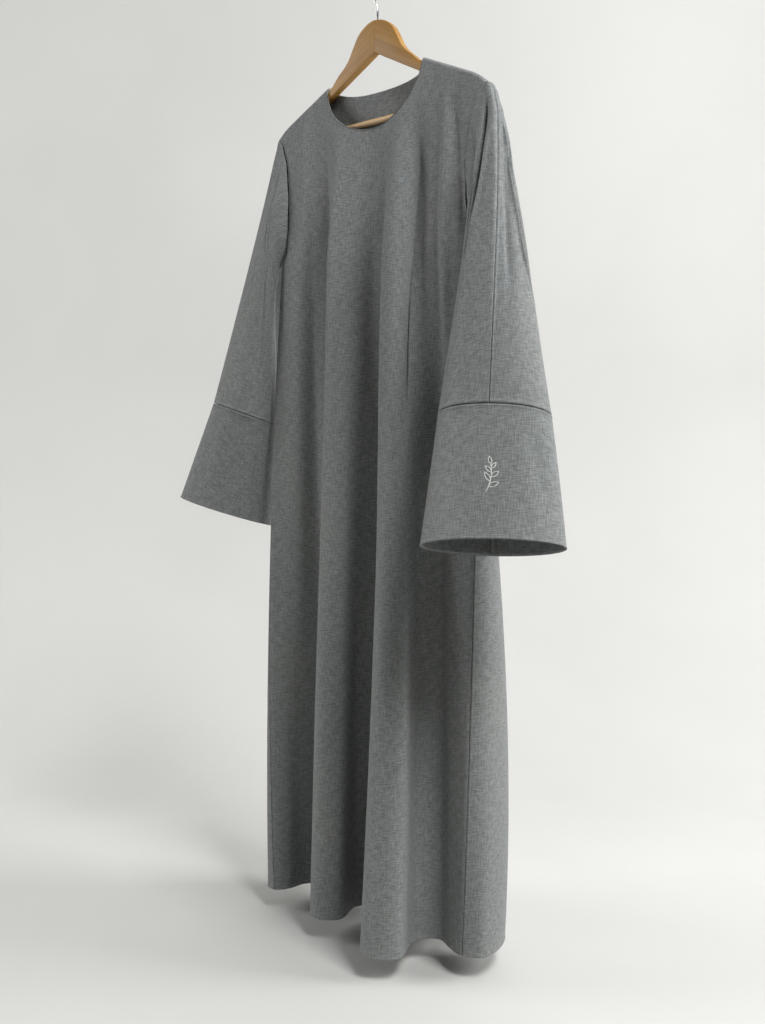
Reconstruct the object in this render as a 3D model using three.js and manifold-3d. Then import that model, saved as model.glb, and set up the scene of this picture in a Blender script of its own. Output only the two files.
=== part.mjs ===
// A plain closed-front abaya hanging on a wooden hanger. Millimetres, +Z up, the garment's front faces -Y
// and the wearer's left is +X. The origin is where a rail bears on the inside of the hanger's hook, so a
// "drop" is a height measured down from there.
import * as THREE from 'three';
import { mergeVertices } from 'three/addons/utils/BufferGeometryUtils.js';
import Module from 'manifold-3d';

// Cloth
const wall = 1.6;
const seamGap = 0.3;
const lapGap = 0.7;
const shoulderStandoff = 8.3; // outer face of the cloth from the hanger's middle plane
const shoulderRound = 5;

// Garment sizes
const cutPower = 5; // how close to the armhole its curve draws the cloth in
const neckHalf = 102;
const neckPointDrop = 162;
const shoulderHalf = 222;
const shoulderTipDrop = 218;
const shoulderLean = 0.02;
const tipShare = 0.05; // share of the armhole's height that the rounded shoulder tip takes
const underarmShare = 0.9;
const frontNeckDrop = 250;
const backNeckDrop = 189;
const underarmDrop = 445;
const hemDrop = 1534;

// Hanger sizes
const crownDrop = 80;
const plateThickness = 12;
const plateRound = 3;
const barRadius = 5.2;
const barDrop = 237.5;
const barHalf = 190;
const barSides = 16;
const wireRadius = 1.75;
const hookInnerRadius = 20;
const stemDepth = 24;
const stemGap = 1;
const woodGap = 0.3;
const neckClearance = 3;
const shoulderClearance = 3.4;

const lerp = THREE.MathUtils.lerp;
const clamp = THREE.MathUtils.clamp;

// Half width of a panel at the armhole, from the shoulder tip down to the underarm.
const armholeRows = [
  { drop: 218, half: 222 },
  { drop: 240, half: 207 },
  { drop: 275, half: 195 },
  { drop: 330, half: 189 },
  { drop: 385, half: 189 },
  { drop: 425, half: 196 },
  { drop: 445, half: 212 },
];

// Folds of the body, seen from above, from the right side seam across the front to the left side seam and
// back across the back. Each row is the middle of a fold: its place at the underarm, its place at the hem,
// half of its width at both, how far it stands from its flanks before and after, and how far it swells
// sideways and towards the back halfway down. stiff is high where the cloth stays flat until just above the
// underarm.
const foldRows = [
  { fold: 'right side seam', chestX: -214, chestY: 0, hemX: -198, hemY: -17, swell: -22, stiff: 6 },
  { fold: 'right front corner', chestX: -203, chestY: -9, hemX: -184, hemY: 6, swell: -16, stiff: 4 },
  { fold: 'right front hollow', chestX: -130, chestY: -8, chestHalf: 26, hemX: -138, hemY: 74, hemHalf: 40,
    rise: -32, fall: -32, swell: -8, stiff: 1 },
  { fold: 'right front column', chestX: -62, chestY: -34, chestHalf: 24, hemX: -62, hemY: -53, hemHalf: 33,
    rise: 26, fall: 26, swell: 0, stiff: 1 },
  { fold: 'middle front hollow', chestX: 5, chestY: -8, chestHalf: 26, hemX: 3, hemY: 70, hemHalf: 48,
    rise: -36, fall: -36, swell: 2, stiff: 1 },
  { fold: 'left front column', chestX: 72, chestY: -36, chestHalf: 26, hemX: 97, hemY: -98, hemHalf: 38,
    rise: 29, fall: 29, swell: 6, stiff: 1 },
  { fold: 'left front hollow', chestX: 136, chestY: -10, chestHalf: 22, hemX: 138, hemY: 30, hemHalf: 26,
    rise: -28, fall: -11, swell: 4, stiff: 1 },
  { fold: 'left front corner', chestX: 203, chestY: -9, hemX: 184, hemY: 11, swell: 6, stiff: 4 },
  { fold: 'left side seam', chestX: 212, chestY: 0, hemX: 198, hemY: 9, swell: 5, stiff: 6 },
  { fold: 'left back corner', chestX: 205, chestY: 9, hemX: 226, hemY: 25, swell: 4, swellBack: 12,
    stiff: 4 },
  { fold: 'left back column', chestX: 172, chestY: 24, chestHalf: 18, hemX: 196, hemY: 119, hemHalf: 27,
    rise: -42, fall: -22, swell: 3, swellBack: 32, stiff: 1 },
  { fold: 'left back hollow', chestX: 120, chestY: 9, chestHalf: 20, hemX: 136, hemY: 68, hemHalf: 27,
    rise: 28, fall: 28, swell: 3, swellBack: 26, stiff: 1 },
  { fold: 'left middle back column', chestX: 62, chestY: 32, chestHalf: 22, hemX: 70, hemY: 146, hemHalf: 34,
    rise: -27, fall: -24, swell: 0, swellBack: 26, stiff: 1 },
  { fold: 'middle back hollow', chestX: 4, chestY: 10, chestHalf: 20, hemX: 2, hemY: 104, hemHalf: 22,
    rise: 14, fall: 14, swell: 0, swellBack: 22, stiff: 1 },
  { fold: 'right middle back column', chestX: -58, chestY: 33, chestHalf: 24, hemX: -66, hemY: 150,
    hemHalf: 38, rise: -26, fall: -26, swell: 0, swellBack: 24, stiff: 1 },
  { fold: 'right back hollow', chestX: -124, chestY: 9, chestHalf: 20, hemX: -142, hemY: 104, hemHalf: 27,
    rise: 15, fall: 15, swell: -6, swellBack: 20, stiff: 1 },
  { fold: 'right back column', chestX: -176, chestY: 22, chestHalf: 16, hemX: -202, hemY: 142, hemHalf: 27,
    rise: -20, fall: -38, swell: -12, swellBack: 20, stiff: 1 },
  { fold: 'right back side', chestX: -202, chestY: 12, hemX: -236, hemY: 42, swell: -14, swellBack: 8,
    stiff: 3 },
  { fold: 'right back corner', chestX: -210, chestY: 5, hemX: -222, hemY: -11, swell: -18, stiff: 5 },
];
const chestFlankShare = 0.28; // depth of a fold at the underarm, as a share of its depth at the hem
const backSwellPower = 1.5; // the back swells out slowly below the underarm, and most at 0.6 of the way down
const backSwellScale = 5.4;

// The two sleeves hang differently. Each section gives its overarm seam's place, drop included. facing is the
// compass angle that the seam faces, from the front towards the wearer's left. depth is the tube from overarm
// to underarm, halfWidth is half of it the other way, and tilt is how much lower the underarm is. Each row of
// fullness says how far the cloth stands off a straight line from armhole to cuff: around is the angle from
// the overarm seam round by the front, out is away from the body, back is towards the back, and peak is how
// far down the sleeve it is fullest.
const sleeves = {
  left: {
    side: 1,
    seam: { x: 297, y: -84, drop: 693, facing: 26, depth: 86, halfWidth: 81, tilt: 30 },
    hem: { x: 339, y: -124, drop: 876, facing: 37, depth: 106, halfWidth: 101, tilt: 33 },
    fullness: [
      { around: 0, out: 10, back: 7, peak: 0.25 },
      { around: 40, out: 18, back: 0, peak: 0.2 },
      { around: 80, out: 24, back: -6, peak: 0.19 },
      { around: 130, out: 14, back: -14, peak: 0.16 },
      { around: 180, out: 9, back: 0, peak: 0.2 },
      { around: 220, out: 14, back: 22, peak: 0.18 },
      { around: 255, out: 27, back: 29, peak: 0.2 },
      { around: 290, out: 36, back: 24, peak: 0.18 },
      { around: 325, out: 34, back: 18, peak: 0.12 },
      { around: 345, out: 22, back: 13, peak: 0.13 },
    ],
  },
  right: {
    side: -1,
    seam: { x: -348, y: -39, drop: 678, facing: -48, depth: 118, halfWidth: 62, tilt: 40 },
    hem: { x: -420, y: -56, drop: 849, facing: -48, depth: 172, halfWidth: 66, tilt: 50 },
    fullness: [
      { around: 0, out: -4, back: 2, peak: 0.3 },
      { around: 45, out: 5, back: -8, peak: 0.22 },
      { around: 90, out: 12, back: -19, peak: 0.16 },
      { around: 135, out: 14, back: -22, peak: 0.2 },
      { around: 180, out: 15, back: 0, peak: 0.25 },
      { around: 220, out: 12, back: 20, peak: 0.2 },
      { around: 265, out: 12, back: 22, peak: 0.18 },
      { around: 315, out: 1, back: 12, peak: 0.25 },
    ],
  },
};

// Upper edge of the hanger's plate beside the crown, and its lower edge, as x and height below the crown.
const crownRows = [
  { x: 0, below: 0 },
  { x: 20, below: 5 },
  { x: 36, below: 17 },
  { x: 47, below: 34 },
  { x: 57, below: 51 },
  { x: 70, below: 64 },
  { x: 86, below: 75 },
];
const archBelow = 50.5;
const archSlope = 0.52;
const outlineSteps = 60;
const neckInset = 2;
const tipInset = 20;

// Round the tip of an arm and back under it, as x beyond the end of its upper edge, and drop.
const tipRows = [
  { out: 7, drop: 228 },
  { out: 5, drop: 242 },
  { out: -6, drop: 248 },
  { out: -22, drop: 246 },
  { out: -36, drop: 234 },
  { out: -50, drop: 218 },
];

// The hook's stem, as x and height above the crown, and its bend round the rail in degrees.
const stemRows = [
  { x: 0, above: -4 },
  { x: 0, above: 12 },
  { x: -2, above: 24 },
  { x: -10, above: 36 },
];
const bendStart = 205;
const bendEnd = -20;
const bendStep = 15;

const cloth = (color) => new THREE.MeshStandardMaterial({ color, roughness: 0.92, metalness: 0 });
const suiting = 0x7e8082;
const wood = (color) => new THREE.MeshStandardMaterial({ color, roughness: 0.45, metalness: 0 });
const chrome = new THREE.MeshStandardMaterial({ color: 0xc8cacc, roughness: 0.18, metalness: 1 });

// Value of one column of a table at a place in another, joined by straight lines.
function lookUp(rows, column, place, at) {
  const last = rows.length - 1;
  for (let row = 0; row < last; row += 1) {
    if (at <= rows[row + 1][place] || row === last - 1) {
      const part = (at - rows[row][place]) / (rows[row + 1][place] - rows[row][place]);
      return lerp(rows[row][column], rows[row + 1][column], clamp(part, 0, 1));
    }
  }
  return rows[last][column];
}

// Every fold row gives one point, or three where the fold has a width.
function foldPoints() {
  const points = [];
  foldRows.forEach((row, index) => {
    const front = index < foldRows.findIndex((other) => other.fold === 'left side seam');
    const heading = front ? 1 : -1;
    const steps = row.chestHalf ? [-1, 0, 1] : [0];
    for (const step of steps) {
      const flank = step < 0 ? row.rise : row.fall;
      points.push({
        fold: row.fold,
        chest: new THREE.Vector3(
          row.chestX + heading * step * (row.chestHalf ?? 0),
          row.chestY + (step ? chestFlankShare * flank : 0),
          0,
        ),
        hem: new THREE.Vector3(
          row.hemX + heading * step * (row.hemHalf ?? 0),
          row.hemY + (step ? flank : 0),
          0,
        ),
        swell: row.swell,
        swellBack: row.swellBack ?? 0,
        stiff: row.stiff,
      });
    }
  });
  return points;
}

const foldRing = foldPoints();
const ringCount = foldRing.length;
const foldAt = (index) => foldRing[THREE.MathUtils.euclideanModulo(index, ringCount)];
const leftSeamIndex = foldRing.findIndex((point) => point.fold === 'left side seam');
const chestHalfRight = -foldRing[0].chest.x;
const chestHalfLeft = foldRing[leftSeamIndex].chest.x;

// A smooth curve through four points, between the middle two, that doesn't overshoot where they are uneven.
function centripetal(points, part) {
  const knots = [0];
  for (let i = 1; i < 4; i += 1) knots.push(knots[i - 1] + Math.sqrt(points[i].distanceTo(points[i - 1])));
  const t = lerp(knots[1], knots[2], part);
  const blend = (a, b, from, to) => new THREE.Vector3().lerpVectors(a, b, (t - from) / (to - from));
  const first = [0, 1, 2].map((i) => blend(points[i], points[i + 1], knots[i], knots[i + 1]));
  const second = [0, 1].map((i) => blend(first[i], first[i + 1], knots[i], knots[i + 2]));
  return blend(second[0], second[1], knots[1], knots[2]);
}

// The body's ring at a height, share going from the underarm (0) to the hem (1).
function ringAt(place, share) {
  const index = Math.floor(place);
  const around = [-1, 0, 1, 2].map((offset) => {
    const row = foldAt(index + offset);
    const point = new THREE.Vector3().lerpVectors(row.chest, row.hem, share);
    point.x += row.swell * 4 * share * (1 - share);
    point.y += row.swellBack * backSwellScale * share ** backSwellPower * (1 - share);
    return point;
  });
  return centripetal(around, place - index);
}

function stiffnessAt(place) {
  const index = Math.floor(place);
  return lerp(foldAt(index).stiff, foldAt(index + 1).stiff, place - index);
}

// Height of the shoulder seam. The garment hangs a little lower on its right.
const shoulderDrop = (x) => {
  const slope = (shoulderTipDrop - neckPointDrop) / (shoulderHalf - neckHalf);
  return neckPointDrop + (Math.abs(x) - neckHalf) * slope - x * shoulderLean;
};

function topDrop(x, face) {
  if (Math.abs(x) >= neckHalf) return shoulderDrop(x);
  const level = neckPointDrop - x * shoulderLean;
  const lowest = face < 0 ? frontNeckDrop : backNeckDrop;
  return level + (lowest - level) * Math.sqrt(1 - (x / neckHalf) ** 2);
}

// A point of the body's outer face. place counts fold points round the ring, down goes from the top edge (0)
// to the hem (1), and face is -1 on the front and 1 on the back.
function bodyPoint(place, down, face) {
  const chest = ringAt(place, 0);
  const side = chest.x < 0 ? chestHalfRight : chestHalfLeft;
  const top = topDrop(chest.x * (shoulderHalf / side), face);
  const drop = lerp(top, hemDrop, down);
  if (drop >= underarmDrop) {
    return ringAt(place, (drop - underarmDrop) / (hemDrop - underarmDrop)).setZ(-drop);
  }
  const lowered = clamp((drop - shoulderTipDrop) / (underarmDrop - shoulderTipDrop), 0, 1);
  const straight = lerp(shoulderHalf, side, lowered);
  const uncut = lerp(shoulderHalf, armholeRows.at(-1).half, lowered);
  const cut = lookUp(armholeRows, 'half', 'drop', drop) - uncut;
  const outward = Math.abs(chest.x) / side;
  const x = chest.x * (straight / side) + Math.sign(chest.x) * cut * outward ** cutPower;
  const line = shoulderDrop(x);
  const wrapped = Math.sqrt(1 - (1 - clamp((drop - line) / shoulderRound, 0, 1)) ** 2);
  const level = Math.max(line, neckPointDrop);
  const fall = clamp((drop - level) / (underarmDrop - level), 0, 1) ** stiffnessAt(place);
  const y = lerp(face * shoulderStandoff, chest.y, fall) * wrapped;
  return new THREE.Vector3(x, wrapped > 0 ? y : (face * seamGap) / 2, -drop);
}

// The outward direction of a surface point(u, v), measured over small steps between the limits of u.
function outwardAt(point, u, v, { lowest = -Infinity, highest = Infinity, alongStep = 1e-3 } = {}) {
  const step = 1e-3;
  const across = point(Math.min(u + step, highest), v).sub(point(Math.max(u - step, lowest), v));
  const along = point(u, Math.min(v + alongStep, 1)).sub(point(u, Math.max(v - alongStep, 0)));
  return along.cross(across).normalize();
}

// Turns a surface into a closed wall. point(u, v) gives the outer face and outward(u, v) its direction; gaps
// are left at the four edges, in the order u start, u end, v start, v end.
function clothWall(name, point, us, vs, gaps, outward = (u, v) => outwardAt(point, u, v)) {
  const outer = us.map((u) => vs.map((v) => point(u, v)));
  const inner = us.map((u, i) => vs.map((v, j) => outer[i][j].clone().addScaledVector(outward(u, v), -wall)));
  const lastColumn = us.length - 1;
  const lastRow = vs.length - 1;
  const trim = (i, j, toI, toJ, gap) => {
    const shift = outer[toI][toJ].clone().sub(outer[i][j]).setLength(gap);
    outer[i][j].add(shift);
    inner[i][j].add(shift);
  };
  for (let j = 0; j <= lastRow; j += 1) {
    trim(0, j, 1, j, gaps[0]);
    trim(lastColumn, j, lastColumn - 1, j, gaps[1]);
  }
  for (let i = 0; i <= lastColumn; i += 1) {
    trim(i, 0, i, 1, gaps[2]);
    trim(i, lastRow, i, lastRow - 1, gaps[3]);
  }
  const positions = [outer, inner].flat(2).flatMap((place) => place.toArray());
  const triangles = [];
  const count = us.length * vs.length;
  const quad = (a, b, c, d) => triangles.push(a, b, c, a, c, d);
  const at = (i, j) => i * vs.length + j;
  for (let i = 0; i < lastColumn; i += 1) {
    for (let j = 0; j < lastRow; j += 1) {
      quad(at(i, j), at(i, j + 1), at(i + 1, j + 1), at(i + 1, j));
      quad(count + at(i, j), count + at(i + 1, j), count + at(i + 1, j + 1), count + at(i, j + 1));
    }
  }
  // The rims of two pieces that meet are split along the same diagonal, so they stay apart where they twist.
  for (let j = 0; j < lastRow; j += 1) {
    quad(at(0, j + 1), at(0, j), count + at(0, j), count + at(0, j + 1));
    quad(at(lastColumn, j + 1), count + at(lastColumn, j + 1), count + at(lastColumn, j), at(lastColumn, j));
  }
  for (let i = 0; i < lastColumn; i += 1) {
    quad(at(i, 0), at(i + 1, 0), count + at(i + 1, 0), count + at(i, 0));
    quad(at(i, lastRow), count + at(i, lastRow), count + at(i + 1, lastRow), at(i + 1, lastRow));
  }
  const geometry = new THREE.BufferGeometry();
  geometry.setAttribute('position', new THREE.Float32BufferAttribute(positions, 3));
  geometry.setIndex(triangles);
  const mesh = new THREE.Mesh(geometry, cloth(suiting));
  mesh.name = name;
  return mesh;
}

const range = (start, end, steps) => Array.from({ length: steps + 1 }, (_, i) => lerp(start, end, i / steps));

// Rows of a body panel: round the shoulder's edge, then at the heights where the sleeve's lines start, then
// from the underarm to the hem. Rows of a sleeve and of a cuff.
const sleeveSteps = 12;
const armholeSpan = (underarmDrop - shoulderTipDrop) / (hemDrop - shoulderTipDrop);
const bodyDowns = [
  0, 0.0012, 0.0038,
  ...[1, 2, 4, 6, 8, 9, 10, 11, 12].map((step) => (step / sleeveSteps) * armholeSpan),
  0.29, 0.42, 0.56, 0.7, 0.85, 1,
];
const sleeveDowns = [0, 0.03, 0.08, 0.15, 0.23, 0.33, 0.45, 0.58, 0.72, 0.86, 1];
const sleeveAlongStep = 0.012;
const cuffColumns = 28;
const cuffDowns = [0, 0.5, 1];
const segmentSteps = 2;
const neckStep = 0.3;
const neckColumnSpan = 0.18; // no other column of the panel comes this near to one at a neck point

// The place on the ring where the top edge is at a given x, between two places.
function placeAt(x, from, to) {
  let [low, high] = [from, to];
  const rising = to === leftSeamIndex;
  for (let step = 0; step < 40; step += 1) {
    const middle = (low + high) / 2;
    const chestX = ringAt(middle, 0).x;
    const topX = chestX * (shoulderHalf / (chestX < 0 ? chestHalfRight : chestHalfLeft));
    if ((topX < x) === rising) low = middle;
    else high = middle;
  }
  return (low + high) / 2;
}

// The outward direction of a body panel. Its wall stands straight down along the shoulder seam, and above the
// underarm the panel ends at the armhole.
function bodyOutward(place, down, face, from, to) {
  const point = (u, v) => bodyPoint(u, v, face);
  const here = point(place, down);
  if (down === 0 && Math.abs(here.x) >= neckHalf - 1e-3) return new THREE.Vector3(0, 0, 1);
  const limits = here.z > -underarmDrop ? { lowest: from, highest: to } : {};
  return outwardAt(point, place, down, limits);
}

function bodyPanel(name, face, from, to) {
  const neckPlaces = [-neckHalf, -neckHalf + neckStep, neckHalf - neckStep, neckHalf]
    .map((x) => placeAt(x, from, to));
  const regular = range(from, to, (to - from) * segmentSteps)
    .filter((place) => neckPlaces.every((other) => Math.abs(place - other) > neckColumnSpan));
  const places = [...regular, ...neckPlaces].sort((a, b) => a - b);
  return clothWall(
    name,
    (place, down) => bodyPoint(place, down, face),
    places,
    bodyDowns,
    [seamGap / 2, seamGap / 2, 0, 0],
    (place, down) => bodyOutward(place, down, face, from, to),
  );
}

// A point of a ring across a sleeve, at an angle from its overarm seam round by the front.
function ringPoint(ring, angle) {
  const facing = THREE.MathUtils.degToRad(ring.facing);
  const outward = new THREE.Vector3(Math.sin(facing), -Math.cos(facing), 0);
  const side = Math.sign(ring.x);
  const forward = new THREE.Vector3(-Math.cos(facing), -Math.sin(facing), 0).multiplyScalar(side);
  const inwards = (1 - Math.cos(angle)) / 2;
  return new THREE.Vector3(ring.x, ring.y, -ring.drop)
    .addScaledVector(outward, -ring.depth * inwards)
    .addScaledVector(forward, ring.halfWidth * Math.sin(angle))
    .add(new THREE.Vector3(0, 0, -ring.tilt * inwards));
}

// Where a sleeve starts: the body's armhole edge, from the shoulder tip (0) to the underarm (1), moved out by
// a wall and a gap, because the sleeve hangs over that edge. At both ends it moves straight sideways.
function armholePoint(side, share, face) {
  const tipDrop = shoulderDrop(side * shoulderHalf);
  const down = (share * (underarmDrop - tipDrop)) / (hemDrop - tipDrop);
  const [from, to] = face < 0 ? [0, leftSeamIndex] : [leftSeamIndex, ringCount];
  const place = (side > 0) === (face < 0) ? to : from;
  const point = bodyPoint(place, down, face);
  const sideways = new THREE.Vector3(side, 0, 0);
  const atEnds = Math.max(
    1 - THREE.MathUtils.smoothstep(share, 0, tipShare),
    THREE.MathUtils.smoothstep(share, underarmShare, 1),
  );
  const outward = bodyOutward(place, down, face, from, to).lerp(sideways, atEnds).normalize();
  point.y *= 1 - atEnds;
  return point.addScaledVector(outward, wall + lapGap).addScaledVector(sideways, seamGap);
}

// Value of one column of a table of rows round a sleeve, on a smooth curve that closes on itself.
function aroundSleeve(rows, column, degrees) {
  const count = rows.length;
  const turn = ((degrees % 360) + 360) % 360;
  const index = rows.findLastIndex((row) => row.around <= turn);
  const next = index + 1 < count ? rows[index + 1].around : 360;
  const t = (turn - rows[index].around) / (next - rows[index].around);
  const [a, b, c, d] = [-1, 0, 1, 2].map((offset) => rows[(index + offset + count) % count][column]);
  return b + 0.5 * t * (c - a + t * (2 * a - 5 * b + 4 * c - d + t * (3 * (b - c) + d - a)));
}

// A point of a sleeve's outer face: angle runs round from the overarm seam by the front, down goes from the
// armhole (0) to the cuff seam (1).
function sleevePoint(sleeve, angle, down) {
  const turn = THREE.MathUtils.euclideanModulo(angle, 2 * Math.PI);
  const front = turn <= Math.PI;
  const share = front ? turn / Math.PI : 2 - turn / Math.PI;
  const start = armholePoint(sleeve.side, share, front ? -1 : 1);
  const point = new THREE.Vector3().lerpVectors(start, ringPoint(sleeve.seam, angle), down);
  const degrees = THREE.MathUtils.radToDeg(angle);
  const peak = aroundSleeve(sleeve.fullness, 'peak', degrees);
  const fullness = Math.sin(Math.PI * down ** (Math.log(0.5) / Math.log(peak)));
  point.x += sleeve.side * aroundSleeve(sleeve.fullness, 'out', degrees) * fullness;
  point.y += aroundSleeve(sleeve.fullness, 'back', degrees) * fullness;
  return point;
}

function sleeveHalf(name, sleeve, front) {
  const [first, last] = sleeve.side > 0 ? [1, 0] : [0, 1];
  const from = Math.PI * (first + (front ? 0 : 1));
  const sweep = Math.PI * (last - first);
  const point = (u, v) => sleevePoint(sleeve, from + sweep * u, v);
  const outward = (u, v) => outwardAt(point, u, v, { alongStep: sleeveAlongStep });
  const gaps = [seamGap / 2, seamGap / 2, 0, seamGap / 2];
  return clothWall(name, point, range(0, 1, sleeveSteps), sleeveDowns, gaps, outward);
}

function cuff(name, sleeve) {
  const ring = (down) => Object.fromEntries(
    Object.keys(sleeve.seam).map((key) => [key, lerp(sleeve.seam[key], sleeve.hem[key], down)]),
  );
  const turn = sleeve.side > 0 ? -1 : 1;
  const point = (u, v) => ringPoint(ring(v), Math.PI + turn * 2 * Math.PI * u);
  const gaps = [seamGap / 2, seamGap / 2, seamGap / 2, 0];
  return clothWall(name, point, range(0, 1, cuffColumns), cuffDowns, gaps);
}

// Solids for cutting
const wasm = await Module();
wasm.setup();

function toSolid(geometry) {
  const bare = geometry.index ? geometry.toNonIndexed() : geometry.clone();
  bare.deleteAttribute('normal');
  bare.deleteAttribute('uv');
  const merged = mergeVertices(bare, 1e-4);
  return new wasm.Manifold(new wasm.Mesh({
    numProp: 3,
    vertProperties: new Float32Array(merged.attributes.position.array),
    triVerts: new Uint32Array(merged.index.array),
  }));
}

function fromSolid(solid) {
  const mesh = solid.getMesh();
  const geometry = new THREE.BufferGeometry();
  geometry.setAttribute('position', new THREE.BufferAttribute(mesh.vertProperties, 3));
  geometry.setIndex(new THREE.BufferAttribute(mesh.triVerts, 1));
  return geometry;
}

// Outline of the hanger's plate on one side, from the crown out to the tip and back to the arch.
function halfOutline(side) {
  const top = -crownDrop;
  const neckX = neckHalf - neckInset;
  const tipX = shoulderHalf - tipInset;
  const points = crownRows.map((row) => new THREE.Vector2(row.x, top - row.below));
  for (const part of [0, 0.25, 0.5, 0.75, 0.92, 1]) {
    const x = lerp(neckX, tipX, part);
    const clearance = lerp(neckClearance, shoulderClearance, part);
    points.push(new THREE.Vector2(x, -shoulderDrop(side * Math.max(x, neckHalf)) - wall - clearance));
  }
  points.push(...tipRows.map((row) => new THREE.Vector2(tipX + row.out, -row.drop)));
  points.push(new THREE.Vector2(neckX, top - archBelow - archSlope * neckX));
  const smooth = new THREE.SplineCurve(points).getPoints(outlineSteps);
  return smooth.map((point) => new THREE.Vector2(side * point.x, point.y));
}

function hangerOutline() {
  const arch = new THREE.Vector2(0, -crownDrop - archBelow);
  return new THREE.Shape([...halfOutline(1), arch, ...halfOutline(-1).slice(1).reverse()]);
}

function boxBetween(low, high) {
  const size = high.clone().sub(low);
  const middle = low.clone().add(high).multiplyScalar(0.5);
  return new THREE.BoxGeometry(size.x, size.y, size.z).translate(middle.x, middle.y, middle.z);
}

function hangerArms() {
  const plate = new THREE.ExtrudeGeometry(hangerOutline(), {
    depth: plateThickness - 2 * plateRound,
    bevelThickness: plateRound,
    bevelSize: plateRound,
    bevelOffset: -plateRound,
    bevelSegments: 2,
    curveSegments: 1,
  });
  plate.rotateX(Math.PI / 2).translate(0, (plateThickness - 2 * plateRound) / 2, 0);
  const bore = new THREE.CylinderGeometry(wireRadius + woodGap, wireRadius + woodGap, 2 * stemDepth, 12);
  bore.rotateX(Math.PI / 2).translate(0, 0, -crownDrop);
  const socketRadius = barRadius + woodGap;
  const socket = new THREE.CylinderGeometry(socketRadius, socketRadius, 2 * (barHalf + woodGap), barSides);
  socket.rotateZ(Math.PI / 2).translate(0, 0, -barDrop);
  const whole = toSolid(plate).subtract(toSolid(bore)).subtract(toSolid(socket));
  const reach = hemDrop;
  return [1, -1].map((side) => {
    const near = (side * seamGap) / 2;
    const low = new THREE.Vector3(Math.min(near, side * reach), -reach, -reach);
    const high = new THREE.Vector3(Math.max(near, side * reach), reach, reach);
    const arm = whole.intersect(toSolid(boxBetween(low, high)));
    const mesh = new THREE.Mesh(fromSolid(arm), wood(side > 0 ? 0xb98a52 : 0xc79a60));
    mesh.name = side > 0 ? 'hanger_arm_left' : 'hanger_arm_right';
    return mesh;
  });
}

function hangerBar() {
  const dowel = new THREE.CylinderGeometry(barRadius, barRadius, 2 * barHalf, barSides);
  const mesh = new THREE.Mesh(dowel, wood(0xc9a574));
  mesh.name = 'hanger_bar';
  mesh.rotation.z = Math.PI / 2;
  mesh.position.z = -barDrop;
  return mesh;
}

// The hook rises from the crown, bends over to the wearer's right and rounds the rail.
function hangerHook() {
  const radius = hookInnerRadius + wireRadius;
  const middle = -hookInnerRadius;
  const points = [
    new THREE.Vector3(0, 0, -crownDrop - stemDepth + stemGap),
    ...stemRows.map((row) => new THREE.Vector3(row.x, 0, row.above - crownDrop)),
  ];
  for (let degrees = bendStart; degrees >= bendEnd; degrees -= bendStep) {
    const angle = THREE.MathUtils.degToRad(degrees);
    points.push(new THREE.Vector3(radius * Math.cos(angle), 0, middle + radius * Math.sin(angle)));
  }
  const section = new THREE.Shape().absarc(0, 0, wireRadius, 0, 2 * Math.PI);
  const geometry = new THREE.ExtrudeGeometry(section, {
    extrudePath: new THREE.CatmullRomCurve3(points),
    steps: 44,
    curveSegments: 4,
    bevelEnabled: false,
  });
  const mesh = new THREE.Mesh(geometry, chrome);
  mesh.name = 'hanger_hook';
  return mesh;
}

const group = new THREE.Group();
group.add(bodyPanel('front_panel', -1, 0, leftSeamIndex));
group.add(bodyPanel('back_panel', 1, leftSeamIndex, ringCount));
for (const [name, sleeve] of Object.entries(sleeves)) {
  group.add(sleeveHalf(`${name}_sleeve_front`, sleeve, true));
  group.add(sleeveHalf(`${name}_sleeve_back`, sleeve, false));
  group.add(cuff(`${name}_cuff`, sleeve));
}
group.add(...hangerArms(), hangerBar(), hangerHook());

export default group;
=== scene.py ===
import bisect
import math

import bmesh
import bpy
from mathutils import Matrix, Vector


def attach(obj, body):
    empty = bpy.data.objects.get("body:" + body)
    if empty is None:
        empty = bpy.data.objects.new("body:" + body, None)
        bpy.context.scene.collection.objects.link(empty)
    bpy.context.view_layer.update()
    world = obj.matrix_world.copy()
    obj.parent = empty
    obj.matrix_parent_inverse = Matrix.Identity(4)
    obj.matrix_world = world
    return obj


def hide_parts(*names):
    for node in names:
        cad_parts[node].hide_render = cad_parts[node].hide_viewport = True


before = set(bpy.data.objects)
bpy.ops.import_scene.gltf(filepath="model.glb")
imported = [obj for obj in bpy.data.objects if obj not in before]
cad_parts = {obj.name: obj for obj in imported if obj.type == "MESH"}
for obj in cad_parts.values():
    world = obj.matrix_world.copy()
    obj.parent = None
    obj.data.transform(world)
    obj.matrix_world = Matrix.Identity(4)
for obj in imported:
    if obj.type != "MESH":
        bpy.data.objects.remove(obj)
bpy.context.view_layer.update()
print("stage: frame loaded")

# A plain abaya on a wooden hanger. Tables and sizes are in millimetres, meshes in metres. A drop is a height
# measured down from the inside of the hook, where the origin is.
mm = 0.001

view = {
    "place": (1.20588, -1.31019, -0.76888),
    "yaw": -0.7324,
    "pitch": -0.05052,
    "roll": 0.01612,
    "focalPixels": 1100.1,  # for a picture 1024 pixels high
    "pictureHeight": 1024,
    "sensor": 36,
}


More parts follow.
